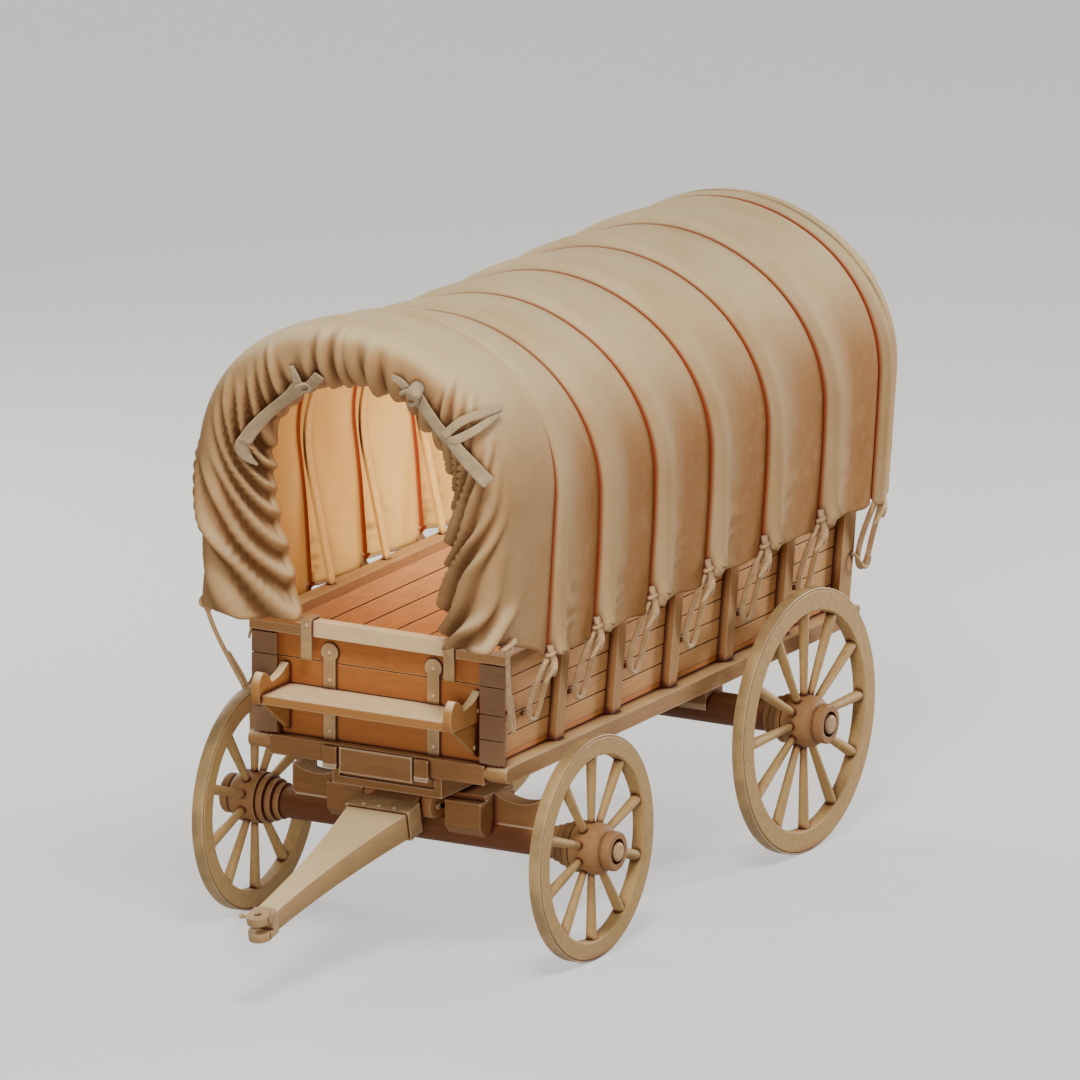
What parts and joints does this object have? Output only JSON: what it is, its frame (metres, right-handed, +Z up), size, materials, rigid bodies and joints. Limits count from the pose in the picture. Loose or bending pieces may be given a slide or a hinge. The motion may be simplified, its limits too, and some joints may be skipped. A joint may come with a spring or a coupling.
{
  "type": "covered wagon",
  "caption": "Four-wheeled farm wagon with a leaning plank bed, a canvas top on bent bows, spoked wheels and a steered front gear with a tapered drawbar.",
  "frame": {"origin": "on the ground under the middle of the overall box", "axes": "+Z up, -Y towards the drawbar, +X to the right-hand side seen from behind the drawbar looking at the front"},
  "size_m": [2.2066, 4.9671, 3.225],
  "materials": {
    "board_wood": "weathered planks",
    "frame_wood": "worn timber",
    "pale_wood": "worn pale timber",
    "axle_wood": "dark timber",
    "bow_wood": "bent timber",
    "wheel_wood": "turned and bent timber",
    "canvas": "heavy cotton duck",
    "iron": "painted to match the timber",
    "tyre_iron": "worn and dusty"
  },
  "bodies": {
    "wagon": {"floor_boards": "board_wood", "side_boards_left": "board_wood", "side_boards_right": "board_wood", "side_posts_left": "frame_wood", "side_posts_right": "frame_wood", "top_rails": "frame_wood", "side_sills": "frame_wood", "cross_sills": "frame_wood", "front_boards": "board_wood", "front_strap_irons": "iron", "seat_bar": "pale_wood", "seat_bar_hooks": "iron", "footboard": "pale_wood", "footboard_brackets": "pale_wood", "tie_cleats": "iron", "bows": "bow_wood", "canvas_cover": "canvas", "front_bolster": "frame_wood", "upper_turning_plate": "iron", "reach_pole": "frame_wood", "rear_bolster": "frame_wood", "rear_hounds": "frame_wood", "rear_axle": "axle_wood", "rear_axle_nuts": "iron", "tailgate_hinges": "iron"},
    "front_gear": {"front_axle": "axle_wood", "front_axle_nuts": "iron", "front_hounds": "frame_wood", "axle_saddles": "frame_wood", "front_axle_bed": "frame_wood", "sand_board": "frame_wood", "lower_turning_plate": "iron", "king_pin": "iron", "drawbar_pin": "iron"},
    "drawbar": {"drawbar": "pale_wood", "drawbar_band": "iron", "hitch_head": "iron"},
    "tailgate": {"tailgate_boards": "board_wood", "tailgate_straps": "iron"},
    "front_left_wheel": {"front_left_tyre": "tyre_iron", "front_left_felloes": "wheel_wood", "front_left_spokes": "wheel_wood", "front_left_hub": "wheel_wood"},
    "front_right_wheel": {"front_right_tyre": "tyre_iron", "front_right_felloes": "wheel_wood", "front_right_spokes": "wheel_wood", "front_right_hub": "wheel_wood"},
    "rear_left_wheel": {"rear_left_tyre": "tyre_iron", "rear_left_felloes": "wheel_wood", "rear_left_spokes": "wheel_wood", "rear_left_hub": "wheel_wood"},
    "rear_right_wheel": {"rear_right_tyre": "tyre_iron", "rear_right_felloes": "wheel_wood", "rear_right_spokes": "wheel_wood", "rear_right_hub": "wheel_wood"}
  },
  "joints": [
    {"name": "steering", "type": "hinge", "parent": "wagon", "child": "front_gear", "pos_m": [0, -0.8305, 0.785], "axis": [0, 0, 1], "range_deg": [-15, 15]},
    {"name": "drawbar_lift", "type": "hinge", "parent": "front_gear", "child": "drawbar", "pos_m": [0, -1.0265, 0.712], "axis": [-1, 0, 0], "range_deg": [0, 14]},
    {"name": "tailgate_drop", "type": "hinge", "parent": "wagon", "child": "tailgate", "pos_m": [0, 2.2305, 1.036], "axis": [-1, 0, 0], "range_deg": [0, 175]},
    {"name": "front_left_wheel_spin", "type": "hinge", "parent": "front_gear", "child": "front_left_wheel", "pos_m": [-0.943, -0.8305, 0.56], "axis": [1, 0, 0], "continuous": true},
    {"name": "front_right_wheel_spin", "type": "hinge", "parent": "front_gear", "child": "front_right_wheel", "pos_m": [0.943, -0.8305, 0.56], "axis": [1, 0, 0], "continuous": true},
    {"name": "rear_left_wheel_spin", "type": "hinge", "parent": "wagon", "child": "rear_left_wheel", "pos_m": [-0.872, 1.3885, 0.66], "axis": [1, 0, 0], "continuous": true},
    {"name": "rear_right_wheel_spin", "type": "hinge", "parent": "wagon", "child": "rear_right_wheel", "pos_m": [0.872, 1.3885, 0.66], "axis": [1, 0, 0], "continuous": true}
  ]
}
